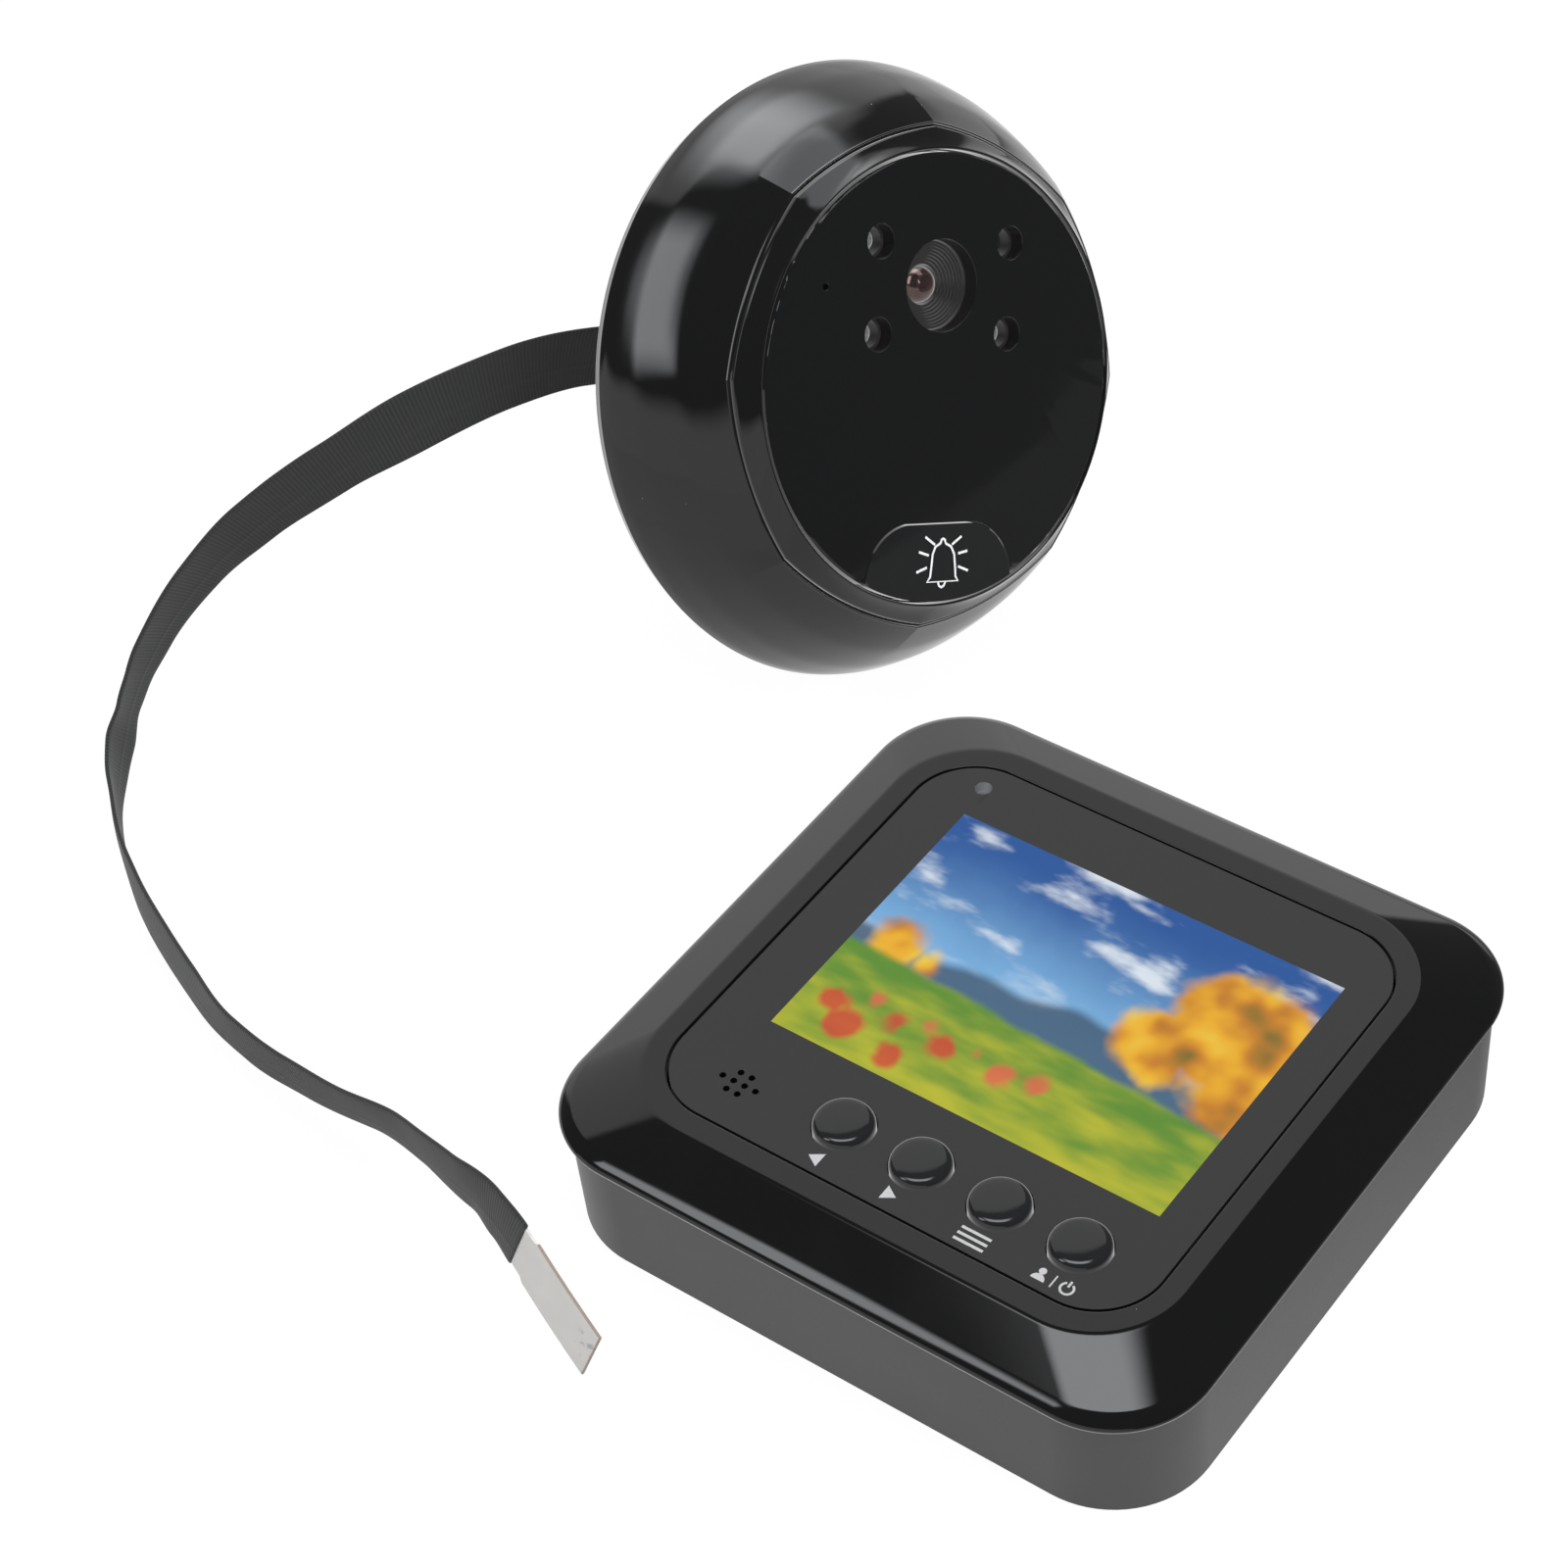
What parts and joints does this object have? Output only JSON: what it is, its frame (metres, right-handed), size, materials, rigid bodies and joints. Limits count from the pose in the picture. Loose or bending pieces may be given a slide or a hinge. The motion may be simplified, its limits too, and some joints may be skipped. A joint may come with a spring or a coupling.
{
  "type": "peephole door camera",
  "caption": "Peephole door camera: battery indoor monitor with screen and buttons, and a round outdoor bell unit on a ribbon cable.",
  "frame": {"origin": "centre of the indoor monitor's back face, on the surface it lies on", "axes": "+Z out of the monitor's screen, +Y up the screen, +X to the screen's right; the outdoor unit stands on its rear rim beyond the monitor's top left"},
  "size_m": [0.164, 0.1548, 0.0681],
  "materials": {
    "case_satin": "satin moulded, dark charcoal",
    "bezel_gloss": "piano black gloss",
    "panel_satin": "satin charcoal sheet",
    "display_picture": "lit display picture under a clear sheet",
    "plated_steel": "plated sheet",
    "display_glass": "dark display glass",
    "board_green": "solder resist",
    "chip_black": "moulded package",
    "speaker_black": "pressed can",
    "light_pipe_grey": "translucent grey",
    "lamp_clear": "clear epoxy",
    "socket_cream": "moulded nylon",
    "inner_black": "moulded black",
    "contact_nickel": "nickel plated",
    "screw_black": "black zinc",
    "housing_gloss": "piano black gloss",
    "face_gloss": "black printed clear sheet",
    "window_clear": "clear window",
    "lamp_window_dark": "dark window",
    "button_gloss": "polished black",
    "switch_black": "moulded switch",
    "lens_glass": "coated lens",
    "sensor_dark": "image sensor",
    "insert_brass": "knurled brass",
    "foam_black": "closed cell foam",
    "rubber_black": "soft rubber",
    "ribbon_cloth": "black cloth tape",
    "tail_white": "white stiffener film",
    "cell_sleeve": "printed sleeve"
  },
  "bodies": {
    "camera_set": {"rear_case": "case_satin", "front_bezel": "bezel_gloss", "front_panel": "panel_satin", "screen_window": "display_picture", "lcd_frame": "plated_steel", "lcd_glass": "display_glass", "main_board": "board_green", "main_chip": "chip_black", "speaker": "speaker_black", "light_pipe": "light_pipe_grey", "status_lamp": "lamp_clear", "ribbon_socket": "socket_cream", "battery_tray": "inner_black", "battery_springs": "contact_nickel", "battery_plates": "contact_nickel", "case_screws": "screw_black", "door_housing": "housing_gloss", "trim_ring": "housing_gloss", "face_plate": "face_gloss", "lens_window": "window_clear", "lamp_windows": "lamp_window_dark", "sensor_mask": "inner_black", "door_microphone": "plated_steel", "bell_switch": "switch_black", "camera_board": "board_green", "board_screws": "screw_black", "lens_holder": "inner_black", "lens_barrel": "inner_black", "front_lens": "lens_glass", "rear_lens": "lens_glass", "image_sensor": "sensor_dark", "light_sensor": "lamp_clear", "rear_cover": "inner_black", "bolt_inserts": "insert_brass", "rear_screws": "screw_black", "foam_pad": "foam_black", "ribbon_grommet": "rubber_black", "ribbon_lead": "ribbon_cloth", "ribbon_header": "socket_cream", "ribbon_cable": "ribbon_cloth", "ribbon_connector": "tail_white", "button_switch_1": "switch_black", "button_switch_2": "switch_black", "button_switch_3": "switch_black", "button_switch_4": "switch_black", "battery_cell_1": "cell_sleeve", "ir_lamp_1": "lamp_clear", "battery_cell_2": "cell_sleeve", "ir_lamp_2": "lamp_clear", "battery_cell_3": "cell_sleeve", "ir_lamp_3": "lamp_clear"},
    "button_1": {"button_cap_1": "button_gloss"},
    "button_2": {"button_cap_2": "button_gloss"},
    "button_3": {"button_cap_3": "button_gloss"},
    "button_4": {"button_cap_4": "button_gloss"},
    "bell": {"bell_button": "button_gloss"},
    "battery_door": {"battery_cover": "case_satin"}
  },
  "joints": [
    {"name": "button_1_press", "type": "slide", "parent": "camera_set", "child": "button_1", "axis": [0, 0, -1], "range_m": [0, 0.0003], "stiffness_N_per_m": 1200},
    {"name": "button_2_press", "type": "slide", "parent": "camera_set", "child": "button_2", "axis": [0, 0, -1], "range_m": [0, 0.0003], "stiffness_N_per_m": 1200},
    {"name": "button_3_press", "type": "slide", "parent": "camera_set", "child": "button_3", "axis": [0, 0, -1], "range_m": [0, 0.0003], "stiffness_N_per_m": 1200},
    {"name": "button_4_press", "type": "slide", "parent": "camera_set", "child": "button_4", "axis": [0, 0, -1], "range_m": [0, 0.0003], "stiffness_N_per_m": 1200},
    {"name": "bell_press", "type": "slide", "parent": "camera_set", "child": "bell", "axis": [-0.9083, 0.1293, -0.3979], "range_m": [0, 0.0006], "stiffness_N_per_m": 900},
    {"name": "battery_door_slide", "type": "slide", "parent": "camera_set", "child": "battery_door", "axis": [0, 1, 0], "range_m": [0, 0.062]}
  ]
}
